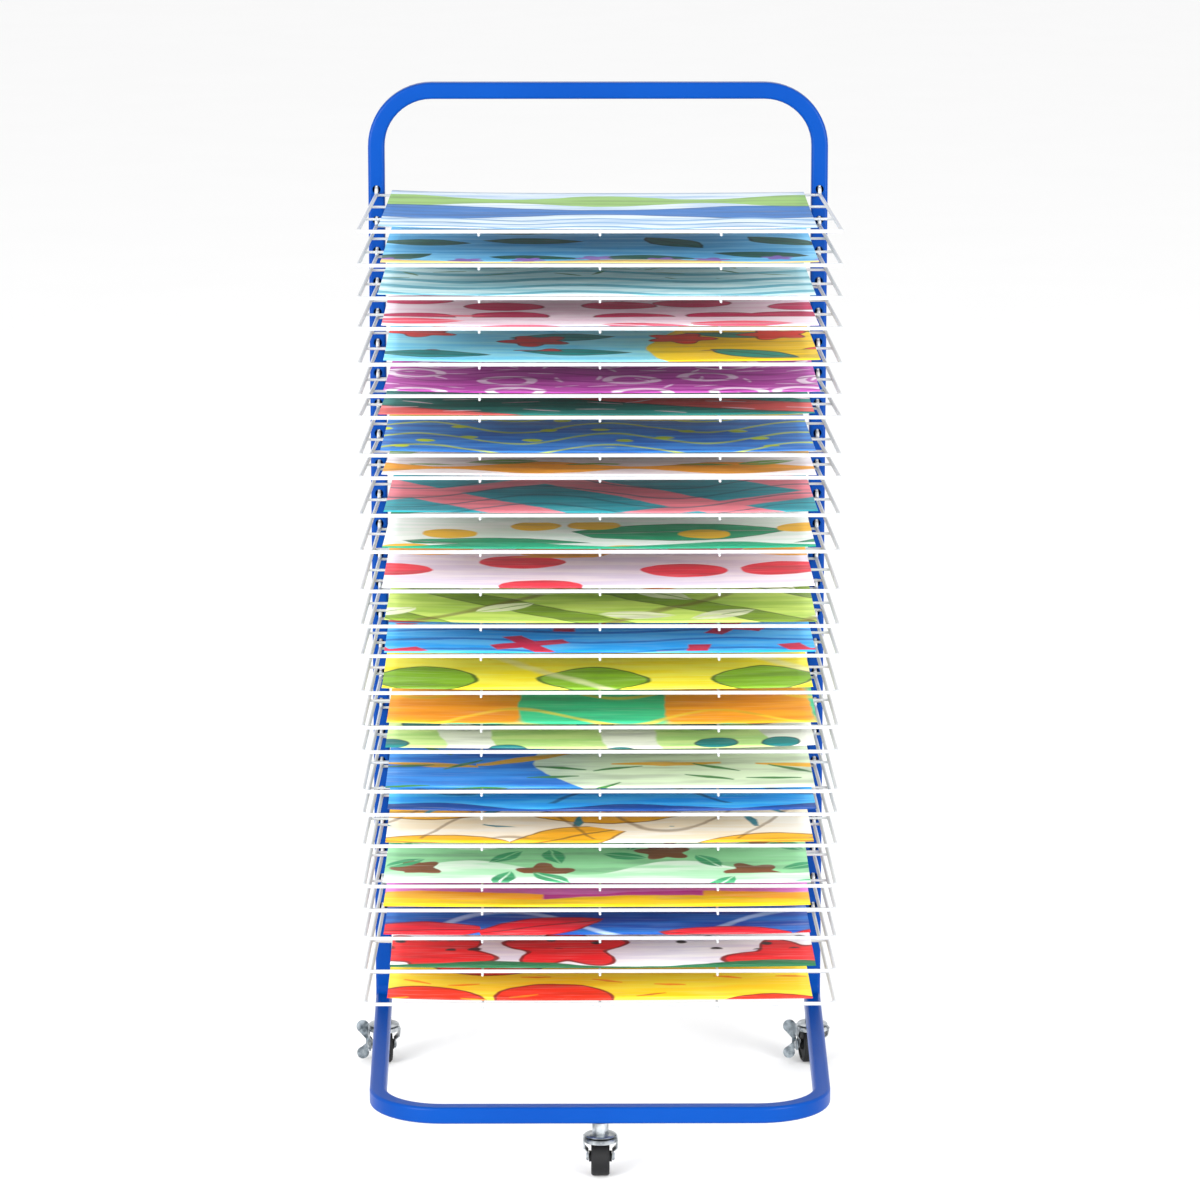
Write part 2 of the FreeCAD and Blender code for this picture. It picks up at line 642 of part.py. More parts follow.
def make_brake(name):
    """Rocker of pressed sheet: a web on the axle, and behind the leg a leaf with two foot lobes."""
    body = new_body(f"{name}_brake")
    inner = f"-({LEG_OUT} + Sizes.running_gap)"
    back = "(Sizes.caster_trail + Sizes.web_back)"
    front = "Sizes.caster_trail - Sizes.web_front"
    web_low, web_high = f"{AXLE_LEVEL} - Sizes.web_half", f"{AXLE_LEVEL} + Sizes.web_half"
    web = new_sketch(body, "WebOutline", "YZ_Plane", z=f"{inner} - Sizes.brake_plate")
    outline(web, [(front, web_low), (back, web_low), (back, web_high), (front, web_high)])
    disc(web, "Sizes.caster_trail", AXLE_LEVEL, "Sizes.axle_diameter / 2 + Sizes.axle_gap")
    padded(body, "Web", web, "Sizes.brake_plate")

    lobe_x = f"{inner} - Sizes.pedal_out"
    upper_z, lower_z = f"{AXLE_LEVEL} + Sizes.upper_reach", f"{AXLE_LEVEL} - Sizes.lower_reach"
    across = "cos(30)"
    waist = f"{inner} - Sizes.pedal_waist"
    leaf = new_sketch(body, "LeafOutline", "XZ_Plane", z=f"-{back}")
    outline(leaf, [
        (f"{lobe_x} + Sizes.upper_lobe * {across}", f"{upper_z} - Sizes.upper_lobe / 2"),
        (inner, web_high),
        (inner, web_low),
        (f"{lobe_x} + Sizes.lower_lobe * {across}", f"{lower_z} + Sizes.lower_lobe / 2"),
        (f"{lobe_x} - Sizes.lower_lobe * {across}", f"{lower_z} + Sizes.lower_lobe / 2"),
        (waist, AXLE_LEVEL),
        (waist, web_high),
        (f"{lobe_x} - Sizes.upper_lobe * {across}", f"{upper_z} - Sizes.upper_lobe / 2"),
    ])
    padded(body, "Leaf", leaf, "Sizes.brake_plate")
    lobes = (("Upper", upper_z, "Sizes.upper_lobe"), ("Lower", lower_z, "Sizes.lower_lobe"))
    for side, height, radius in lobes:
        lobe = new_sketch(body, f"{side}LobeOutline", "XZ_Plane", z=f"-{back}")
        disc(lobe, lobe_x, height, radius)
        padded(body, f"{side}Lobe", lobe, "Sizes.brake_plate")
    return body


def make_casters():
    """Three swivel casters: fixed mounts in one group, and a fork and a wheel each, and two brakes."""
    mount = make_caster_mount()
    mounts = []
    made = []
    for name in stem_places():
        place = caster_placement(name)
        copy = doc.addObject("Part::Feature", f"mount_{name}")
        copy.Shape = mount.Shape.copy()
        copy.Placement = place
        mounts.append(copy)
        fork = make_fork(f"caster_{name}")
        fork.Placement = place
        wheel = make_wheel(f"caster_{name}")
        wheel.Placement = place * axle_placement()
        made += [fork, wheel]
        if name != "front":
            brake = make_brake(f"caster_{name}")
            brake.Placement = place
            made.append(brake)
    group = doc.addObject("Part::Compound", "caster_mounts")
    group.Label = "caster_mounts"
    group.Links = mounts
    doc.recompute()
    return [group] + made


def wire_section(centre, across, beside, radius):
    """A wire's outline in the plane of two directions: a regular polygon with flats facing both."""
    step = math.radians(360 / WIRE_FACES)
    corner = radius / math.cos(step / 2)
    turns = [step * (number + 0.5) for number in range(WIRE_FACES)]
    points = [centre + (across * math.cos(turn) + beside * math.sin(turn)) * corner for turn in turns]
    return Part.makePolygon(points + points[:1])


def wire_along(name, edges, section):
    """A wire swept along a path, with mitred corners."""
    shell = Part.BRepOffsetAPI.MakePipeShell(Part.Wire(edges))
    shell.setTransitionMode(1)
    shell.add(section)
    shell.build()
    shell.makeSolid()
    piece = doc.addObject("Part::Feature", name)
    piece.Shape = shell.shape()
    return piece


def straight_wire(name, start, turn, length):
    """A straight grid wire with a flat on top."""
    wire = doc.addObject("Part::Prism", name)
    wire.Polygon = WIRE_FACES
    half_step = 180 / WIRE_FACES
    bind(wire, Circumradius=f"Sizes.grid_wire / 2 / cos({half_step})")
    wire.Height = length
    wire.Placement = Placement(start, turn * Rotation(UP, half_step))
    return wire


def side_wire(name, sign, lean, bend_point):
    """Tail up inside the tube, out of the hole, down the face and forward to the rail's bend."""
    radius = size("rim_wire") / 2
    half_wall = size("tube_wall") / 2
    inside = -(half_wall + size("hook_gap") + radius)
    outside = half_wall + size("face_gap") + radius
    drop = -size("hook_drop")
    along = Vector(sign * math.sin(lean), -math.cos(lean), 0)
    hole = Vector(sign * measure(HALF_SPAN), 0, 0)
    points = [hole + along * inside + UP * size("hook_tail"), hole + along * inside]
    points += [hole + along * outside, hole + along * outside + UP * drop]
    points.append(Vector(sign * abs(bend_point.x), bend_point.y, drop))
    edges = [Part.makeLine(start, end) for start, end in zip(points, points[1:])]
    return wire_along(name, edges, wire_section(points[0], along, UP.cross(along), radius))


def make_shelf_master():
    """One wire shelf about its hinge: hooked side wires, front rail, cross wires and long bars."""
    rim, grid = size("rim_wire") / 2, size("grid_wire") / 2
    drop = -size("hook_drop")
    path = doc.addObject("Sketcher::SketchObject", "ShelfPath")
    path.Placement = Placement(UP * drop, Rotation())
    bent_u(path, f"-{HALF_SPAN}", "0", "-(Sizes.shelf_width - Sizes.rim_wire) / 2",
           "Sizes.rim_wire / 2 - Sizes.shelf_depth", "Sizes.shelf_bend")
    doc.recompute()
    bend_point = path.Geometry[0].EndPoint
    lean = math.atan2(abs(bend_point.x) - measure(HALF_SPAN), abs(bend_point.y))
    sides = (("Left", -1), ("Right", 1))
    pieces = [side_wire(f"ShelfSide{side}", sign, lean, bend_point) for side, sign in sides]

    left_arc, right_arc = [item for item in path.Geometry if isinstance(item, Part.ArcOfCircle)]
    edges = [item.toShape() for item in (left_arc, path.Geometry[1], right_arc)]
    for edge in edges:
        edge.translate(UP * drop)
    start = Vector(bend_point.x, bend_point.y, drop)
    section = wire_section(start, UP, Vector(math.cos(lean), -math.sin(lean), 0), rim)
    pieces.append(wire_along("ShelfRail", Part.sortEdges(edges)[0], section))

    back_y = -size("tube_wall") / 2 - size("face_gap") - grid
    front_y = rim - size("shelf_depth")
    bar_z = drop - rim - grid
    cross_z = bar_z + 2 * grid
    for number in range(int(size("cross_wires"))):
        y = back_y + (front_y - back_y) * number / size("cross_wires")
        reach = measure(HALF_SPAN) + math.tan(lean) * (abs(y) - grid) - rim / math.cos(lean)
        turn = Rotation(Vector(0, 1, 0), 90)
        pieces.append(straight_wire(f"CrossWire{number + 1}", Vector(-reach, y, cross_z), turn, 2 * reach))
    length = size("shelf_depth") + size("wire_tip") + back_y
    half_rail = size("shelf_width") / 2 - rim
    for number in range(int(size("grid_bars"))):
        x = half_rail * (2 * (number + 1) / (size("grid_bars") + 1) - 1)
        turn = Rotation(Vector(1, 0, 0), 90)
        pieces.append(straight_wire(f"LongBar{number + 1}", Vector(x, back_y + grid, bar_z), turn, length))
    master = doc.addObject("Part::Compound", "shelf_master")
    master.Links = pieces
    doc.recompute()
    return master, cross_z + grid


def shelf_placement(number):
    """Where a shelf rests: hooked in the middle of the tube's wall and tipped by its own sag."""
    hinge_y = measure(f"{REAR} - Sizes.tube_side / 2 + Sizes.tube_wall / 2")
    height = size("first_hole") - (number - 1) * size("hole_pitch")
    sag = math.degrees(math.asin(size(f"sag_shelf_{number:02d}") / size("shelf_depth")))
    return Placement(Vector(0, hinge_y, height), Rotation(Vector(1, 0, 0), sag))


def make_shelves():
    """Every shelf and the paper that lies on it."""
    master, paper_level = make_shelf_master()
    front_edge = size("rim_wire") + size("paper_front_room") - size("shelf_depth")
    made = []
    for number in range(1, int(size("shelf_count")) + 1):
        shelf = doc.addObject("Part::Feature", f"shelf_{number:02d}")
        shelf.Label = f"shelf_{number:02d}"
        shelf.Shape = master.Shape.copy()
        shelf.Placement = shelf_placement(number)
        made.append(shelf)
        paper = doc.addObject("Part::Box", f"paper_{number:02d}")
        paper.Label = f"paper_{number:02d}"
        bind(paper, Length="Sizes.paper_width", Width="Sizes.paper_depth", Height="Sizes.paper_thickness")
        corner = Vector(-size("paper_width") / 2, front_edge, paper_level)
        paper.Placement = shelf_placement(number) * Placement(corner, Rotation())
        made.append(paper)
    return made


def export(parts):
    """Check every object and write one STEP file for each sub-part."""
    doc.recompute()
    bad = [item.Name for item in doc.Objects if {"Invalid", "Error"} & set(item.State)]
    if bad:
        raise RuntimeError(f"these objects failed: {bad}")
    os.makedirs("parts", exist_ok=True)
    for part in parts:
        shape = part.Shape
        if shape.isNull() or not shape.isValid() or not shape.Solids:
            raise RuntimeError(f"{part.Label} has no valid solid")
        shape.exportStep(f"parts/{part.Label}.step")
    print(f"wrote {len(parts)} files")


fill_sheet()
parts = [make_frame()]
parts += make_casters()
parts += make_shelves()
export(parts)
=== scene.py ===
import bpy
import bmesh
import json
import math
import random
from mathutils import Matrix, Vector

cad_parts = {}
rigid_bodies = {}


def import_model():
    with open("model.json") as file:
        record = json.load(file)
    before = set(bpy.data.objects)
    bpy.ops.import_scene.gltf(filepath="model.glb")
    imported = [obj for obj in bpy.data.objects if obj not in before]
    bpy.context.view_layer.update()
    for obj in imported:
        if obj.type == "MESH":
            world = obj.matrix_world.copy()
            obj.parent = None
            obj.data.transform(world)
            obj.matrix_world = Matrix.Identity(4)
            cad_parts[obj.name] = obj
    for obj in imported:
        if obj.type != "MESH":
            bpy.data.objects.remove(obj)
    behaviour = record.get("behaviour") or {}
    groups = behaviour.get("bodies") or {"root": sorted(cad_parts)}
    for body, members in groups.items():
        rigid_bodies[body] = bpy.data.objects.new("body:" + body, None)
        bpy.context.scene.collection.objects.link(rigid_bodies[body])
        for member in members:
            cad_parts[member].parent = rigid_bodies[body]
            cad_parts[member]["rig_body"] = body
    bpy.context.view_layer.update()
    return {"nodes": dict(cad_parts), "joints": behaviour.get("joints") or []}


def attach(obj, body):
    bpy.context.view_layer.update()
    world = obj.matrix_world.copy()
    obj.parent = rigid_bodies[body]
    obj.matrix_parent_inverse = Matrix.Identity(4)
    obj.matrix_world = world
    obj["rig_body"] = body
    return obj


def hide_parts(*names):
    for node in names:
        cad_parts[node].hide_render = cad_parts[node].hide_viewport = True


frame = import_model()
random.seed(7)
jointPlace = {joint["name"]: Vector(joint["pos_m"]) for joint in frame["joints"]}
shelfCount = 25


# one output of a node, so that an expression on it adds Math nodes
class Signal:
    def __init__(self, paint, link):
        self.paint = paint
        self.link = link

    def __add__(self, other):
        return self.paint.maths("ADD", self, other)

    def __radd__(self, other):
        return self.paint.maths("ADD", other, self)

    def __sub__(self, other):
        return self.paint.maths("SUBTRACT", self, other)

    def __rsub__(self, other):
        return self.paint.maths("SUBTRACT", other, self)

    def __mul__(self, other):
        return self.paint.maths("MULTIPLY", self, other)

    def __rmul__(self, other):
        return self.paint.maths("MULTIPLY", other, self)

    def __abs__(self):
        return self.paint.maths("ABSOLUTE", self)

    def sine(self):
        return self.paint.maths("SINE", self)

    def lower(self, other):  # the lower of the two
        return self.paint.maths("MINIMUM", self, other)

    def higher(self, other):
        return self.paint.maths("MAXIMUM", self, other)

    def soft(self, width):  # 0 below zero, 1 above it, with a soft edge
        ends = {"Value": self, "From Min": -width, "From Max": width}
        return self.paint.node("ShaderNodeMapRange", {"interpolation_type": "SMOOTHSTEP"}, ends)

    def output(self, name):  # another output of the same node
        return Signal(self.paint, self.link.node.outputs[name])


# a material whose nodes are added one by one
class Paint:
    def __init__(self, name):
        self.material = bpy.data.materials.new(name)
        self.material.use_nodes = True
        self.tree = self.material.node_tree
        self.shader = self.tree.nodes["Principled BSDF"]

    def node(self, kind, settings, values, output=0):
        made = self.tree.nodes.new(kind)
        for key, value in settings.items():
            setattr(made, key, value)
        for key, value in values.items():
            self.feed(made.inputs[key], value)
        return Signal(self, made.outputs[output])

    def feed(self, socket, value):
        if isinstance(value, Signal):
            self.tree.links.new(value.link, socket)
        else:
            socket.default_value = value

    def maths(self, operation, *values):
        return self.node("ShaderNodeMath", {"operation": operation}, dict(enumerate(values)))

    def mix(self, factor, first, second):
        return self.node("ShaderNodeMix", {"data_type": "RGBA"}, {0: factor, 6: first, 7: second}, 2)

    def noise(self, where, scale, detail, output=0):
        values = {"Vector": where, "Scale": scale, "Detail": detail}
        return self.node("ShaderNodeTexNoise", {}, values, output)

    def mapped(self, where, **values):
        return self.node("ShaderNodeMapping", {}, {"Vector": where, **values})

    def split(self, vector):
        x = self.node("ShaderNodeSeparateXYZ", {}, {"Vector": vector})
        return x, x.output("Y")

    def objectPlace(self):
        return self.node("ShaderNodeTexCoord", {}, {}, "Object")

    def bump(self, height, strength, depth):
        values = {"Height": height, "Strength": strength, "Distance": depth}
        return self.node("ShaderNodeBump", {}, values)

    def shade(self, **values):
        for key, value in values.items():
            self.feed(self.shader.inputs[key.replace("_", " ")], value)
        return self.material


def ink(code):  # sRGB hex code to a linear colour
    parts = [int(code[i:i + 2], 16) / 255 for i in (1, 3, 5)]
    return tuple(p / 12.92 if p < 0.04045 else ((p + 0.055) / 1.055) ** 2.4 for p in parts) + (1.0,)


# a clouded coat for painted, plated and moulded pieces, with a finer grain of its own if it has one; where
# a coat gives a patch edge, its cloud is cut into sharp dark and bright patches, which on the zinc are
# painted reflections
def paintCoat(facts):
    paint = Paint(facts["name"])
    where = paint.objectPlace()
    cloud = paint.noise(where, *facts["cloud"])
    # sharp dark and bright patches for the zinc pieces: painted reflections of dark surroundings
    share = (cloud - 0.5).soft(facts["paintedReflectionEdge"]) if "paintedReflectionEdge" in facts else cloud
    tone = paint.mix(share, ink(facts["deep"]), ink(facts["light"]))
    grain = paint.noise(where, *facts["grain"]) if "grain" in facts else cloud
    rough = facts["smoothest"] + cloud * facts["roughSwing"]
    relief = paint.bump(grain, facts["grainStrength"], facts["grainDepth"])
    return paint.shade(Base_Color=tone, Roughness=rough, Normal=relief, **facts["gloss"])


cameraSetup = {
    "place": (-0.0253, -4.3779, 1.3868),
    "downDegrees": 11.322,
    "rightDegrees": 0.341,
    "lens": 141.1,
    "sensor": 36.0,
    "farthest": 100.0,
}


def setCamera():
    data = bpy.data.cameras.new("rackCamera")
    data.lens = cameraSetup["lens"]
    data.sensor_width = cameraSetup["sensor"]
    data.clip_end = cameraSetup["farthest"]
    camera = bpy.data.objects.new("rackCamera", data)
    camera.location = cameraSetup["place"]
    down = math.radians(90 - cameraSetup["downDegrees"])
    camera.rotation_euler = (down, 0.0, -math.radians(cameraSetup["rightDegrees"]))
    bpy.context.scene.collection.objects.link(camera)
    bpy.context.scene.camera = camera
    print("camera set")


studio = {
    "worldStrength": 1.0, "lightSize": 2.0, "lightAim": (0.0, 0.0, 0.5),
    "floorSize": 60.0, "floorTones": (0.93, 0.95), "floorCloud": (3.0, 2.0), "floorRoughness": 0.9,
}
studioLights = {  # place and power
    "leftLight": ((-3.1, -3.7, 1.4), 206.0),
    "rightLight": ((3.1, -3.7, 1.4), 206.0),
    "keyLight": ((-1.9, -3.0, 2.7), 40.0),
}


def addLight(name, place, power):
    data = bpy.data.lights.new(name, "AREA")
    data.shape = "SQUARE"
    data.size = studio["lightSize"]
    data.energy = power
    light = bpy.data.objects.new(name, data)
    light.location = place
    aim = Vector(studio["lightAim"]) - Vector(place)
    light.rotation_euler = aim.to_track_quat("-Z", "Y").to_euler()
    bpy.context.scene.collection.objects.link(light)


def layFloor():
    bm = bmesh.new()
    bmesh.ops.create_grid(bm, x_segments=2, y_segments=2, size=studio["floorSize"] / 2)
    mesh = bpy.data.meshes.new("floor")
    bm.to_mesh(mesh)
    bm.free()
    floor = bpy.data.objects.new("floor", mesh)
    bpy.context.scene.collection.objects.link(floor)
    paint = Paint("palePlaster")
    cloud = paint.noise(paint.objectPlace(), *studio["floorCloud"])
    deep, light = [(grey, grey, grey, 1.0) for grey in studio["floorTones"]]
    tone = paint.mix(cloud, deep, light)
    mesh.materials.append(paint.shade(Base_Color=tone, Roughness=studio["floorRoughness"]))


def setStudio():
    scene = bpy.context.scene
    scene.view_settings.view_transform = "Standard"
    world = bpy.data.worlds.new("paleRoom")
    world.use_nodes = True
    background = world.node_tree.nodes["Background"]
    background.inputs["Color"].default_value = (1.0, 1.0, 1.0, 1.0)
    background.inputs["Strength"].default_value = studio["worldStrength"]
    scene.world = world
    for name, (place, power) in studioLights.items():
        addLight(name, place, power)
    layFloor()
    print("studio set")


creases = {"solid": 38.0, "pressed": 32.0, "wire": 50.0}  # degrees past which an edge stays crisp
mergeDistance = 0.000002


def keepCreases(bm, kind):
    for edge in bm.edges:
        edge.smooth = edge.calc_face_angle(0.0) < math.radians(creases[kind])


def finishPiece(name, bm, material, body):
    mesh = bpy.data.meshes.new(name)
    bm.to_mesh(mesh)
    bm.free()
    mesh.materials.append(material)
    for face in mesh.polygons:
        face.use_smooth = True
    piece = bpy.data.objects.new(name, mesh)
    bpy.context.scene.collection.objects.link(piece)
    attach(piece, body)
    return piece


# the CAD solid with smooth round surfaces and crisp edges
def cadCopy(node, name, material, creaseKind="solid"):
    bm = bmesh.new()
    bm.from_mesh(frame["nodes"][node].data)
    bmesh.ops.remove_doubles(bm, verts=bm.verts, dist=mergeDistance)
    keepCreases(bm, creaseKind)
    piece = finishPiece(name, bm, material, frame["nodes"][node]["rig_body"])
    steady = piece.modifiers.new("steadyNormals", "WEIGHTED_NORMAL")
    steady.keep_sharp = True
    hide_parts(node)


blueCoat = {
    "name": "bluePowderCoat", "deep": "#003888", "light": "#004294", "cloud": (9.0, 3.0),
    "smoothest": 0.24, "roughSwing": 0.12, "grain": (900.0, 2.0), "grainStrength": 0.15,
    "grainDepth": 0.0004, "gloss": {"Specular_IOR_Level": 0.1},
}


def makeFrame():
    cadCopy("tube_frame", "blueTubeFrame", paintCoat(blueCoat))
    print("frame made")


whiteCoat = {
    "name": "whiteWireCoat", "deep": "#b4b7ba", "light": "#c2c4c6", "cloud": (14.0, 3.0),
    "smoothest": 0.265, "roughSwing": 0.15, "grain": (1400.0, 2.0), "grainStrength": 0.2,
    "grainDepth": 0.0002, "gloss": {"Coat_Weight": 0.2},
}
shelfWires = {
    "rim": 0.0035, "grid": 0.0025, "width": 0.444, "depth": 0.312, "cornerBend": 0.008,
    "hookBend": 0.0023, "drop": 0.005, "tail": 0.007, "inside": 0.00305, "outside": 0.00285,
    "holeSpan": 0.431, "crossWires": 3, "crossSink": 0.4, "bars": 3, "tip": 0.003,
    "tipCone": 0.002, "tipTaper": 0.45, "weld": 0.0016, "rimSides": 14, "gridSides": 10,
    "bendDegrees": 15, "fewestBends": 3,
}


# how far the shelf's front edge hangs, read from the flat CAD sheet that lies on it
def shelfTilt(number):
    corners = [vert.co for vert in frame["nodes"][f"paper_{number:02d}"].data.vertices]
    corners.sort(key=lambda corner: corner.y)
    half = len(corners) // 2
    front = sum(corners[:half], Vector()) / half
    back = sum(corners[half:], Vector()) / (len(corners) - half)
    return math.atan2(back.z - front.z, back.y - front.y)


def shelfPlace(number):
    hinge = jointPlace[f"shelf_hinge_{number:02d}"]
    return Matrix.Translation(hinge) @ Matrix.Rotation(shelfTilt(number), 4, "X")


def ringOn(items):  # the edges that join the vertices among the items
    verts = [item for item in items if isinstance(item, bmesh.types.BMVert)]
    edges = dict.fromkeys(edge for vert in verts for edge in vert.link_edges)
    return [edge for edge in edges if all(vert in verts for vert in edge.verts)]


def pullStraight(bm, ring, run):
    pulled = bmesh.ops.extrude_edge_only(bm, edges=ring)["geom"]
    verts = [item for item in pulled if isinstance(item, bmesh.types.BMVert)]
    bmesh.ops.translate(bm, vec=run, verts=verts)
    return ringOn(verts)


# a round wire through the points, with an arc at each corner
def drawWire(bm, points, radius, bends, sides):
    ahead = (points[1] - points[0]).normalized()
    start = bmesh.ops.create_circle(bm, cap_ends=True, radius=radius, segments=sides)
    turn = Vector((0, 0, 1)).rotation_difference(ahead).to_matrix().to_4x4()
    bmesh.ops.transform(bm, matrix=Matrix.Translation(points[0]) @ turn, verts=start["verts"])
    ring = ringOn(start["verts"])
    here = points[0]
    for before, corner, behind, bend in zip(points, points[1:], points[2:], bends):
        ahead = (corner - before).normalized()
        after = (behind - corner).normalized()
        angle = ahead.angle(after)
        cutBack = bend * math.tan(angle / 2)
        stop = corner - ahead * cutBack
        ring = pullStraight(bm, ring, stop - here)
        centre = stop + (after - ahead * ahead.dot(after)).normalized() * bend
        arc = {"cent": centre, "axis": ahead.cross(after).normalized(), "angle": angle}
        steps = max(shelfWires["fewestBends"], round(math.degrees(angle) / shelfWires["bendDegrees"]))
        spun = bmesh.ops.spin(bm, geom=ring, dvec=(0, 0, 0), steps=steps, use_duplicate=False, **arc)
        ring = ringOn(spun["geom_last"])
        here = corner + after * cutBack
    ring = pullStraight(bm, ring, points[-1] - here)
    bmesh.ops.contextual_create(bm, geom=ring)


def drawShelf():
    facts = shelfWires
    rim, grid, drop = facts["rim"] / 2, facts["grid"] / 2, facts["drop"]
    holeX = facts["holeSpan"] / 2
    frontX, frontY = facts["width"] / 2 - rim, rim - facts["depth"]
    bm = bmesh.new()
    left = [
        Vector((-holeX, facts["inside"], facts["tail"])), Vector((-holeX, facts["inside"], 0)),
        Vector((-holeX, -facts["outside"], 0)), Vector((-holeX, -facts["outside"], -drop)),
        Vector((-frontX, frontY, -drop)),
    ]
    right = [Vector((-point.x, point.y, point.z)) for point in reversed(left)]
    hook, corner = [facts["hookBend"]] * 3, [facts["cornerBend"]]
    drawWire(bm, left + right, rim, hook + corner * 2 + hook, facts["rimSides"])
    barZ = -drop - rim - grid
    crossZ = barZ + 2 * grid
    backY = -facts["outside"] + rim - grid
    rows = [backY + (frontY - backY) * count / facts["crossWires"] for count in range(facts["crossWires"])]
    for y in rows:
        reach = holeX + (frontX - holeX) * abs(y / frontY) - rim * facts["crossSink"]
        ends = [Vector((-reach, y, crossZ)), Vector((reach, y, crossZ))]
        drawWire(bm, ends, grid, [], facts["gridSides"])
    tipY = frontY - rim - facts["tip"]
    cone = {"radius1": grid, "radius2": grid * facts["tipTaper"], "depth": facts["tipCone"]}
    for count in range(1, facts["bars"] + 1):
        x = -frontX + 2 * frontX * count / (facts["bars"] + 1)
        ends = [Vector((x, backY + grid, barZ)), Vector((x, tipY + facts["tipCone"], barZ))]
        drawWire(bm, ends, grid, [], facts["gridSides"])
        tip = bmesh.ops.create_cone(bm, cap_ends=True, segments=facts["gridSides"], **cone)
        tipPlace = Matrix.Translation((x, tipY + facts["tipCone"] / 2, barZ))
        lay = tipPlace @ Matrix.Rotation(math.radians(90), 4, "X")
        bmesh.ops.transform(bm, matrix=lay, verts=tip["verts"])
        for y in rows + [frontY]:  # spot welds where the wires cross
            weld = bmesh.ops.create_icosphere(bm, subdivisions=1, radius=facts["weld"])
            bmesh.ops.translate(bm, vec=(x, y, barZ + grid), verts=weld["verts"])
    mesh = bpy.data.meshes.new("shelfMaster")
    bm.to_mesh(mesh)
    bm.free()
    return mesh


def makeShelves():
    whiteWire = paintCoat(whiteCoat)
    master = drawShelf()
    for number in range(1, shelfCount + 1):
        bm = bmesh.new()
        bm.from_mesh(master)
        bmesh.ops.transform(bm, matrix=shelfPlace(number), verts=bm.verts)
        bmesh.ops.recalc_face_normals(bm, faces=bm.faces)
        keepCreases(bm, "wire")
        shelf = finishPiece(f"wireShelf{number:02d}", bm, whiteWire, f"shelf_body_{number:02d}")
        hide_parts(f"shelf_{number:02d}")
    bpy.data.meshes.remove(master)
    print("shelves made")


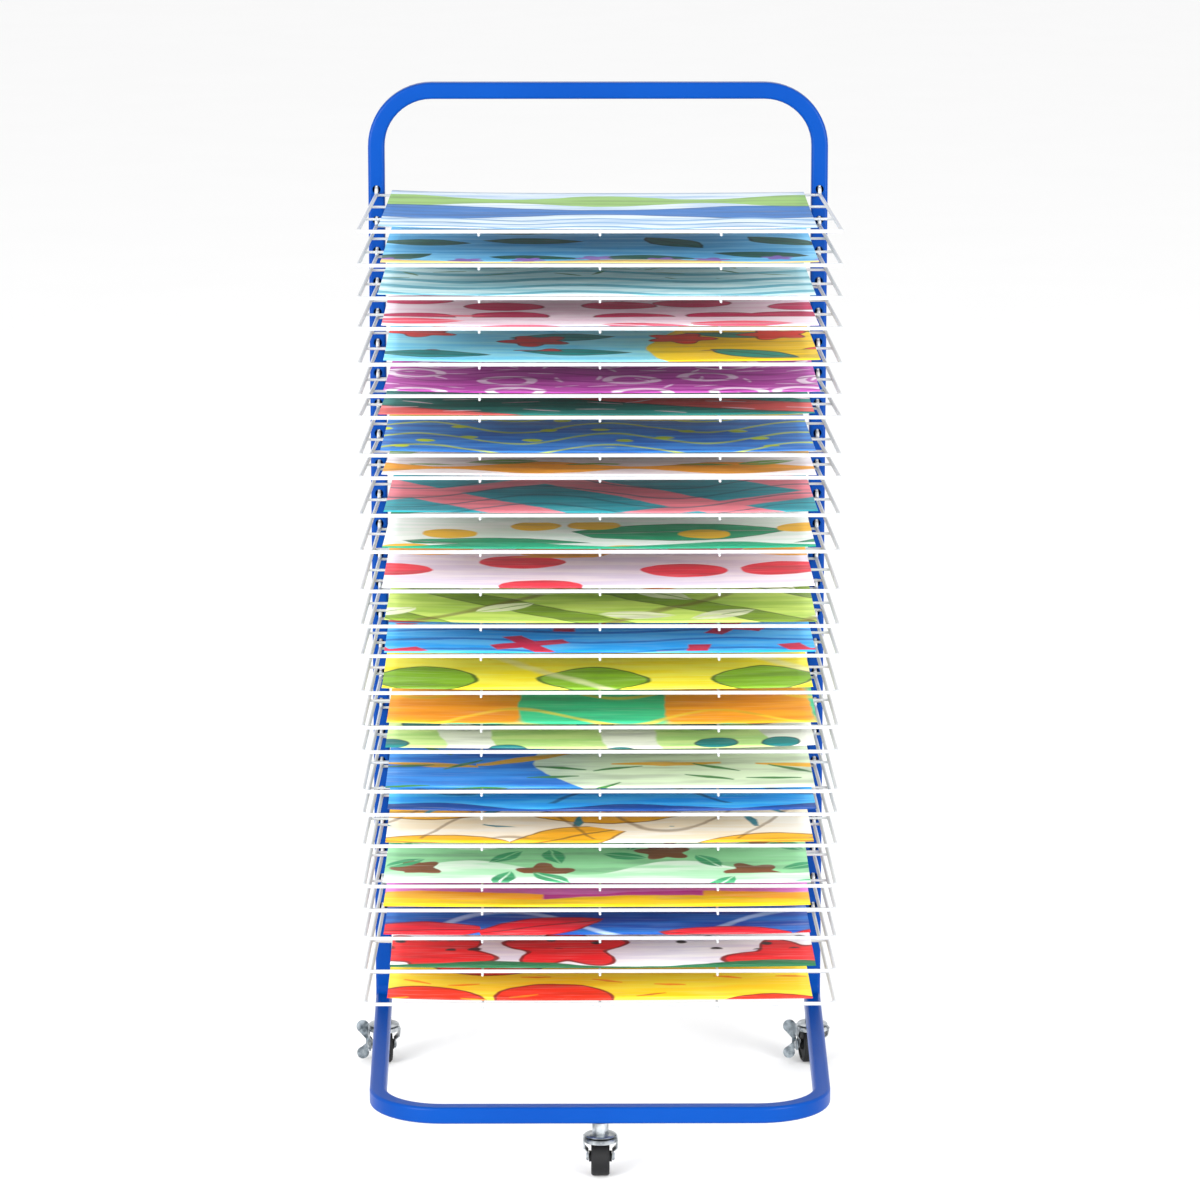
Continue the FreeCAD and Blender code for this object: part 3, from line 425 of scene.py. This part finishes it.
# each sheet's design is a ground and layers of generic marks
# x runs across the sheet from 0 to 1.33, y from its front edge to its back, 0 to 1
sheetDesigns = [
    {"ground": "#d3dee8", "wash": "#a9bfd4", "layers": [
        ("field", "#8db566", dict(low=0.66, high=0.86, swing=0.05, turns=1.6)),
        ("field", "#2f6cb0", dict(low=0.34, high=0.56, swing=0.06, turns=0.9, line=0.01)),
        ("stroke", "#dfe9f2", dict(count=3.4, size=0.26, turn=0.3, above=0.36, below=0.5)),
        ("waves", "#7fa6cb", dict(count=9.0, share=0.3, swing=0.25, turns=2.2, below=0.3))]},
    {"ground": "#86c8ec", "wash": "#5aa9d8", "layers": [
        ("leaf", "#1f5f4c", dict(count=2.9, size=0.42, turn=1.0, line=0.012, above=0.1, below=0.8)),
        ("flower", "#8f6fbe", dict(count=5.2, size=0.3, turn=3.0, above=0.0, below=0.2)),
        ("field", "#d9bd7c", dict(low=-0.2, high=0.05, swing=0.03, turns=1.2))]},
    {"ground": "#a6d2dc", "wash": "#d9ecef", "layers": [
        ("waves", "#6fb0c2", dict(count=6.0, share=0.35, swing=0.3, turns=1.3, above=0.0, below=0.8)),
        ("stroke", "#4d7d58", dict(count=6.0, size=0.3, turn=1.2, above=0.4))]},
    {"ground": "#f1e8f0", "wash": "#e6d2e0", "layers": [
        ("oval", "#c22f5e", dict(count=3.4, size=0.4, squash=1.3, line=0.006, above=0.22)),
        ("leaf", "#ea5f76", dict(count=3.0, size=0.5, turn=0.5, shift=1.7, below=0.26))]},
    {"ground": "#a4e0f2", "wash": "#7fcdea", "layers": [
        ("side", "#f0c90f", dict(start=0.86, swing=0.06, turns=1.0)),
        ("leaf", "#0f8a86", dict(count=2.3, size=0.36, turn=0.7, line=0.012, below=0.6)),
        ("flower", "#d93a34", dict(count=2.7, size=0.3, turn=3.0, line=0.01, above=0.24, below=0.9))]},
    {"ground": "#a8409c", "wash": "#c066b6", "layers": [
        ("ring", "#f3e2f1", dict(count=3.3, size=0.26)),
        ("stroke", "#f3e2f1", dict(count=6.4, size=0.26, turn=3.0, shift=3.3)),
        ("waves", "#93308a", dict(count=8.0, share=0.16, swing=0.3, turns=2.0))]},
    {"ground": "#1f7f78", "wash": "#1c6660", "layers": [
        ("bands", "#dd6664", dict(count=1.5, share=0.3, angle=62, line=0.01)),
        ("stroke", "#f0cfda", dict(count=5.0, size=0.3, turn=0.8, above=0.0, below=0.5))]},
    {"ground": "#1f5fae", "wash": "#4388cc", "layers": [
        ("waves", "#c3d02c", dict(count=4.2, share=0.12, swing=0.45, turns=1.7, below=0.8)),
        ("field", "#d2c022", dict(low=0.74, high=1.4, swing=0.05, turns=1.1)),
        ("oval", "#c3d02c", dict(count=4.6, size=0.13, above=0.1, below=0.7))]},
    {"ground": "#eeebf1", "wash": "#dcd4da", "layers": [
        ("field", "#eaa53a", dict(low=0.1, high=0.28, swing=0.06, turns=1.7)),
        ("field", "#cda04e", dict(low=0.6, high=0.76, swing=0.06, turns=1.3)),
        ("leaf", "#6f9c4c", dict(count=3.4, size=0.4, turn=0.6, above=0.26, below=0.62))]},
    {"ground": "#178694", "wash": "#37a2ad", "layers": [
        ("bands", "#e68692", dict(count=1.9, share=0.36, angle=38)),
        ("bands", "#e68692", dict(count=1.3, share=0.16, angle=-52)),
        ("waves", "#0f5f6c", dict(count=5.0, share=0.1, swing=0.7, turns=1.2))]},
    {"ground": "#f4f5f5", "wash": "#dfe8e3", "layers": [
        ("leaf", "#15936a", dict(count=1.35, size=0.5, turn=0.35, line=0.008, above=0.1)),
        ("oval", "#f2b63c", dict(count=3.2, size=0.26, shift=5.1, above=0.0, below=0.5)),
        ("field", "#22a07a", dict(low=-0.2, high=0.08, swing=0.05, turns=1.4))]},
    {"ground": "#efeaf4", "wash": "#dfd8e8", "layers": [
        ("oval", "#e5404f", dict(count=2.5, size=0.34, squash=1.3, below=0.66)),
        ("oval", "#f0ac3c", dict(count=2.3, size=0.38, squash=1.2, shift=2.2, above=0.5))]},
    {"ground": "#cde07a", "wash": "#abc85e", "layers": [
        ("bands", "#7f9c34", dict(count=2.6, share=0.3, angle=48, line=0.006)),
        ("bands", "#6d4c2a", dict(count=2.2, share=0.05, angle=-40)),
        ("leaf", "#eef3d8", dict(count=3.0, size=0.36, turn=0.9, above=0.0, below=0.6))]},
    {"ground": "#34a6e6", "wash": "#6cc3f0", "layers": [
        ("waves", "#2479c4", dict(count=7.0, share=0.2, swing=0.2, turns=1.2, below=0.48)),
        ("field", "#d2304a", dict(low=0.5, high=0.62, swing=0.04, turns=0.8, line=0.008)),
        ("cross", "#d2304a", dict(count=2.4, size=0.3, turn=0.5, above=0.02, below=0.44))]},
    {"ground": "#f0dc20", "wash": "#f4e765", "layers": [
        ("diamonds", "#7fae2c", dict(count=1.9, size=0.34, line=0.012)),
        ("bands", "#f8f5cf", dict(count=1.6, share=0.04, angle=40))]},
    {"ground": "#eda81a", "wash": "#dc8f10", "layers": [
        ("checks", "#43c38f", dict(count=2.2)),
        ("waves", "#f3d24a", dict(count=3.0, share=0.08, swing=0.3, turns=1.6))]},
    {"ground": "#cfe59c", "wash": "#aed284", "layers": [
        ("bands", "#eef5e6", dict(count=2.0, share=0.34, angle=8)),
        ("oval", "#157a7c", dict(count=3.5, size=0.2, line=0.006))]},
    {"ground": "#1f68ba", "wash": "#4590d6", "layers": [
        ("side", "#d3e2c6", dict(start=0.62, swing=0.16, turns=0.8)),
        ("stroke", "#e0a93a", dict(count=2.6, size=0.44, turn=0.5, above=0.2, below=0.9)),
        ("stroke", "#3c7a3c", dict(count=4.4, size=0.36, turn=0.9, shift=1.4, below=0.6))]},
    {"ground": "#199fe6", "wash": "#58bef0", "layers": [
        ("field", "#86bd62", dict(low=0.6, high=0.86, swing=0.06, turns=1.2)),
        ("waves", "#10305c", dict(count=2.6, share=0.07, swing=0.7, turns=0.9, above=0.1, below=0.9)),
        ("field", "#17478f", dict(low=-0.2, high=0.06, swing=0.03, turns=1.6))]},
    {"ground": "#f6f3ec", "wash": "#ebe2ce", "layers": [
        ("leaf", "#f0b213", dict(count=1.9, size=0.46, turn=0.8, line=0.01)),
        ("stroke", "#2b7f96", dict(count=3.6, size=0.3, turn=3.0, shift=4.2, above=0.2, below=0.8)),
        ("waves", "#6d4a14", dict(count=2.4, share=0.05, swing=0.9, turns=1.0, above=0.05, below=0.95))]},
    {"ground": "#e6f4e6", "wash": "#b4e0bd", "layers": [
        ("field", "#9bd6a6", dict(low=0.16, high=0.42, swing=0.07, turns=1.5)),
        ("flower", "#80482e", dict(count=2.6, size=0.24, turn=3.0, above=0.1, below=0.9)),
        ("leaf", "#3f9c6c", dict(count=4.0, size=0.32, turn=3.0, shift=2.6, above=0.0, below=0.7))]},
    {"ground": "#f0a92c", "wash": "#f2bf4e", "layers": [
        ("checks", "#c04aa8", dict(count=2.0)),
        ("field", "#dd86d6", dict(low=0.16, high=0.36, swing=0.02, turns=1.3)),
        ("field", "#f0cc2c", dict(low=-0.2, high=0.1, swing=0.03, turns=0.9))]},
    {"ground": "#12459a", "wash": "#2c6cba", "layers": [
        ("waves", "#b4cdec", dict(count=2.4, share=0.1, swing=0.4, turns=1.1)),
        ("leaf", "#dd2d38", dict(count=2.2, size=0.5, turn=0.5, shift=0.6, line=0.01))]},
    {"ground": "#f1eef5", "wash": "#dcd8e6", "layers": [
        ("flower", "#e02a2e", dict(count=1.9, size=0.4, turn=3.0, line=0.016)),
        ("oval", "#241c1b", dict(count=8.0, size=0.14, above=0.2, below=0.9)),
        ("field", "#1f6640", dict(low=-0.2, high=0.05, swing=0.03, turns=1.2))]},
    {"ground": "#f5cc1f", "wash": "#f7dc52", "layers": [
        ("oval", "#e2382b", dict(count=2.0, size=0.36, squash=1.25, line=0.012)),
        ("stroke", "#ee8a24", dict(count=5.0, size=0.24, turn=0.6, shift=3.0))]},
]

sheetLook = {
    "aspect": 1.3333, "drift": (1.7, 0.9), "wobble": (4.0, 3.0), "wobbleReach": 0.07,
    "brushStretch": (1.5, 7.0, 1.0), "brush": (2.2, 4.0), "groundEdge": 0.12,
    "bodyFrom": 0.44, "bodyEdge": 0.14, "bodyShade": 0.66, "edge": 0.005, "outline": 0.3,
    "bristleStretch": (2.0, 40.0, 1.0), "bristles": (3.0, 3.0), "dryFrom": 0.62, "dryEdge": 0.1,
    "dryness": 0.16, "fibres": (220.0, 3.0), "fibreStrength": 0.12, "fibreDepth": 0.0003,
    "roughness": 0.62, "roughSwing": 0.2, "vivid": 1.08, "brighten": 1.1,
    "darkest": 0.004, "lightest": 0.96,
}
markForms = {
    "scatter": 0.62, "shiftStep": 0.37, "leafWidth": 0.42, "vein": 0.012, "crossBar": 0.26,
    "strokeTaper": 0.12, "strokeTip": 0.02, "petals": 5, "petalDepth": 0.24, "flowerSize": 0.8,
    "ringWidth": 0.2,
}


def paintInk(code, shade=1.0):  # a poster paint: stronger than the plain colour
    *parts, alpha = ink(code)
    middle = sum(parts) / 3
    strong = [(middle + (part - middle) * sheetLook["vivid"]) * sheetLook["brighten"] for part in parts]
    held = [min(max(part, sheetLook["darkest"]), sheetLook["lightest"]) for part in strong]
    return tuple(part * shade for part in held) + (alpha,)


# where a spot of the sheet is, with the wobble of a hand
def acrossAndAlong(paint, number):
    uv = paint.node("ShaderNodeUVMap", {"uv_map": "sheetMap"}, {})
    driftX, driftY = sheetLook["drift"]
    moved = paint.mapped(uv, Location=(number * driftX, number * driftY, 0.0))
    wobbleX, wobbleY = paint.split(paint.noise(moved, *sheetLook["wobble"], "Color"))
    across, along = paint.split(uv)
    x = across * sheetLook["aspect"] + (wobbleX - 0.5) * sheetLook["wobbleReach"]
    y = along + (wobbleY - 0.5) * sheetLook["wobbleReach"]
    return moved, x, y


# a mark's shape round its own middle, where u and v are zero; above zero inside it
def markShape(kind, u, v, size):
    forms = markForms
    wide, tall = abs(u), abs(v)
    if kind == "leaf":  # parted by its vein
        side = (1 - u * u * (1 / size ** 2)) * (size * forms["leafWidth"])
        return (side - tall).lower(tall - forms["vein"])
    if kind == "stroke":  # thins out to its ends
        spare = size - wide
        return spare.lower(spare * forms["strokeTaper"] + forms["strokeTip"] - tall)
    if kind == "cross":
        bar = size * forms["crossBar"]
        return (size - wide).lower(bar - tall).higher((size - tall).lower(bar - wide))
    reach = u.paint.maths("SQRT", u * u + v * v)
    if kind == "flower":
        angle = u.paint.maths("ARCTAN2", v, u)
        petals = (angle * forms["petals"]).sine() * forms["petalDepth"] + 1
        return petals * (size * forms["flowerSize"]) - reach
    if kind == "ring":
        return size * forms["ringWidth"] - abs(reach - size)
    return size - reach  # oval


# the shape round each of many scattered points, each turned its own way
def scatteredMarks(paint, kind, x, y, facts, number):
    count = facts["count"]
    shift = facts.get("shift", 0.0) + number * markForms["shiftStep"]
    where = paint.node("ShaderNodeCombineXYZ", {}, {"X": x * count, "Y": y * count + shift})
    cells = {"Vector": where, "Scale": 1.0, "Randomness": markForms["scatter"]}
    point = paint.node("ShaderNodeTexVoronoi", {"voronoi_dimensions": "2D"}, cells, "Position")
    offset = paint.node("ShaderNodeVectorMath", {"operation": "SUBTRACT"}, {0: where, 1: point})
    chance = paint.split(point.output("Color"))[0]
    spin = {"Vector": offset, "Angle": (chance - 0.5) * (2 * facts.get("turn", 0.0))}
    u, v = paint.split(paint.node("ShaderNodeVectorRotate", {"rotation_type": "Z_AXIS"}, spin))
    if "squash" in facts:
        v = v * facts["squash"]
    return markShape(kind, u, v, facts["size"]) * (1 / count)


def stripes(phase, facts):  # above zero over its share of every turn
    return (phase.sine() - math.cos(math.pi * facts["share"])) * (1 / (facts["count"] * math.tau))


def markHeight(paint, kind, x, y, facts, number):  # above zero inside the mark
    if kind == "field":  # a strip between two wavy borders
        swell = (x * (facts["turns"] * math.tau) + number).sine() * facts["swing"]
        return (y - facts["low"] + swell).lower(facts["high"] - y + swell)
    if kind == "side":  # all that lies right of a wavy border
        return x - facts["start"] + (y * (facts["turns"] * math.tau)).sine() * facts["swing"]
    if kind == "waves":
        swell = (x * (facts["turns"] * math.tau) + number * 2).sine() * facts["swing"]
        return stripes(y * (facts["count"] * math.tau) + swell * math.tau, facts)
    if kind == "bands":
        turn = math.radians(facts["angle"])
        along = x * math.cos(turn) + y * math.sin(turn)
        return stripes(along * (facts["count"] * math.tau) + number, facts)
    if kind == "checks":
        step = facts["count"] * math.pi
        return (x * step + number).sine() * (y * step).sine() * (1 / step)
    if kind == "diamonds":
        step = facts["count"] * math.tau
        return ((x * step).sine() + (y * step).sine() - 2 * facts["size"]) * (1 / step)
    return scatteredMarks(paint, kind, x, y, facts, number)


def paintSheet(number, design):
    look = sheetLook
    paint = Paint(f"paintedSheet{number:02d}")
    moved, x, y = acrossAndAlong(paint, number)
    wash = paint.noise(paint.mapped(moved, Scale=look["brushStretch"]), *look["brush"])
    bristles = paint.noise(paint.mapped(moved, Scale=look["bristleStretch"]), *look["bristles"])
    wet = (wash - 0.5).soft(look["groundEdge"])
    thick = (wash - look["bodyFrom"]).soft(look["bodyEdge"])
    tone = paint.mix(wet, paintInk(design["ground"]), paintInk(design["wash"]))
    for kind, colour, facts in design["layers"]:
        height = markHeight(paint, kind, x, y, facts, number)
        if "above" in facts:
            height = height.lower(y - facts["above"])
        if "below" in facts:
            height = height.lower(facts["below"] - y)
        if "line" in facts:
            drawn = (height + facts["line"]).soft(look["edge"])
            tone = paint.mix(drawn, tone, paintInk(colour, look["outline"]))
        body = paint.mix(thick, paintInk(colour, look["bodyShade"]), paintInk(colour))
        tone = paint.mix(height.soft(look["edge"]), tone, body)
    dry = (bristles - look["dryFrom"]).soft(look["dryEdge"]) * look["dryness"]
    tone = paint.mix(dry, tone, ink("#ffffff"))
    fibres = paint.noise(moved, *look["fibres"])
    relief = paint.bump(fibres, look["fibreStrength"], look["fibreDepth"])
    rough = look["roughness"] + (wash - 0.5) * look["roughSwing"]
    return paint.shade(Base_Color=tone, Roughness=rough, Normal=relief)


plainPaper = {
    "deep": "#dddbd5", "light": "#eae9e5", "pulp": (320.0, 4.0), "pulpStrength": 0.12,
    "pulpDepth": 0.0002, "roughness": 0.8,
}


def paintPaperBack():  # the sheets' unpainted backs and edges
    paint = Paint("plainPaperBack")
    pulp = paint.noise(paint.objectPlace(), *plainPaper["pulp"])
    tone = paint.mix(pulp, ink(plainPaper["deep"]), ink(plainPaper["light"]))
    relief = paint.bump(pulp, plainPaper["pulpStrength"], plainPaper["pulpDepth"])
    return paint.shade(Base_Color=tone, Roughness=plainPaper["roughness"], Normal=relief)


sheetForm = {
    "thickness": 0.0003, "columns": 32, "rows": 24, "slide": 0.003, "turnDegrees": 0.5,
    "curl": 0.0022, "leastCurl": 0.4, "lean": 0.6, "endCurl": 0.35,
    "ripple": 0.0005, "rippleAcross": 3.1, "rippleAlong": 2.3, "rippleShift": 1.7,
}


def curlSheet(bm, curl, lean, number):  # on a grid from -0.5 to 0.5
    form = sheetForm
    for vert in bm.verts:
        across, along = vert.co.x * 2, vert.co.y * 2
        wave = math.sin(across * form["rippleAcross"] + number)
        wave *= math.sin(along * form["rippleAlong"] + number * form["rippleShift"])
        sides = abs(across) ** 3 * (1 + lean * across)
        ends = form["endCurl"] * abs(along) ** 3
        vert.co.z = curl * (sides + ends) + form["ripple"] * (0.5 + 0.5 * wave)


def makeSheet(number, design, paperBack):
    form = sheetForm
    place = shelfPlace(number)
    corners = [place.inverted() @ vert.co for vert in frame["nodes"][f"paper_{number:02d}"].data.vertices]
    width = max(corner.x for corner in corners) - min(corner.x for corner in corners)
    back, front = max(corner.y for corner in corners), min(corner.y for corner in corners)
    level = min(corner.z for corner in corners)
    bm = bmesh.new()
    bm.loops.layers.uv.new("sheetMap")
    divisions = {"x_segments": form["columns"], "y_segments": form["rows"]}
    bmesh.ops.create_grid(bm, size=0.5, calc_uvs=True, **divisions)
    slide = random.uniform(-form["slide"], form["slide"])
    turnDegrees = random.uniform(-form["turnDegrees"], form["turnDegrees"])
    curl = form["curl"] * random.uniform(form["leastCurl"], 1.0)
    lean = random.uniform(-form["lean"], form["lean"])
    curlSheet(bm, curl, lean, number)
    fit = Matrix.Diagonal((width, back - front, 1.0, 1.0))
    turned = Matrix.Rotation(math.radians(turnDegrees), 4, "Z") @ fit
    bmesh.ops.transform(bm, matrix=turned, verts=bm.verts)
    lay = place @ Matrix.Translation((slide, (back + front) / 2, level))
    bmesh.ops.transform(bm, matrix=lay, verts=bm.verts)
    material = paintSheet(number, design)
    body = f"shelf_body_{number:02d}"
    sheet = finishPiece(f"paintedSheet{number:02d}", bm, material, body)
    sheet.data.materials.append(paperBack)
    skin = sheet.modifiers.new("paperThickness", "SOLIDIFY")
    skin.thickness = form["thickness"]
    skin.offset = 1.0
    skin.material_offset = 1
    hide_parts(f"paper_{number:02d}")


def makeSheets():
    paperBack = paintPaperBack()
    for number, design in enumerate(sheetDesigns, start=1):
        makeSheet(number, design, paperBack)
    print("sheets laid")


# the plated zinc's sharp dark and bright patches are painted reflections of dark surroundings, on a
# metallic coat
zincCoat = {
    "name": "brightZinc", "deep": "#656c71", "light": "#d3d8db", "cloud": (90.0, 4.0),
    "paintedReflectionEdge": 0.22, "smoothest": 0.2, "roughSwing": 0.22, "grain": (900.0, 4.0),
    "grainStrength": 0.12, "grainDepth": 0.0003, "gloss": {"Metallic": 0.95},
}
# the pedal's sharp dark and bright patches are painted reflections of dark surroundings, on a metallic
# coat
pedalCoat = {
    "name": "dullPedalZinc", "deep": "#4d575e", "light": "#b4bec4", "cloud": (160.0, 4.0),
    "paintedReflectionEdge": 0.24, "smoothest": 0.26, "roughSwing": 0.25, "grainStrength": 0.3,
    "grainDepth": 0.0005, "gloss": {"Metallic": 0.85},
}
treadRubber = {
    "name": "darkTread", "deep": "#060607", "light": "#141517", "cloud": (220.0, 5.0),
    "smoothest": 0.5, "roughSwing": 0.25, "grainStrength": 0.25, "grainDepth": 0.0005,
    "gloss": {"Specular_IOR_Level": 0.3},
}
casterNames = ("rear_left", "rear_right", "front")
brakedCasters = ("rear_left", "rear_right")


def makeCasters():
    zinc, pedal, tread = paintCoat(zincCoat), paintCoat(pedalCoat), paintCoat(treadRubber)
    cadCopy("caster_mounts", "casterStems", zinc)
    for name in casterNames:
        cadCopy(f"caster_{name}_fork", f"casterFork_{name}", zinc, "pressed")
        cadCopy(f"caster_{name}_wheel", f"casterWheel_{name}", tread)
        if name in brakedCasters:
            cadCopy(f"caster_{name}_brake", f"brakePedal_{name}", pedal, "pressed")
    print("casters made")


setCamera()
setStudio()
makeFrame()
makeShelves()
makeSheets()
makeCasters()
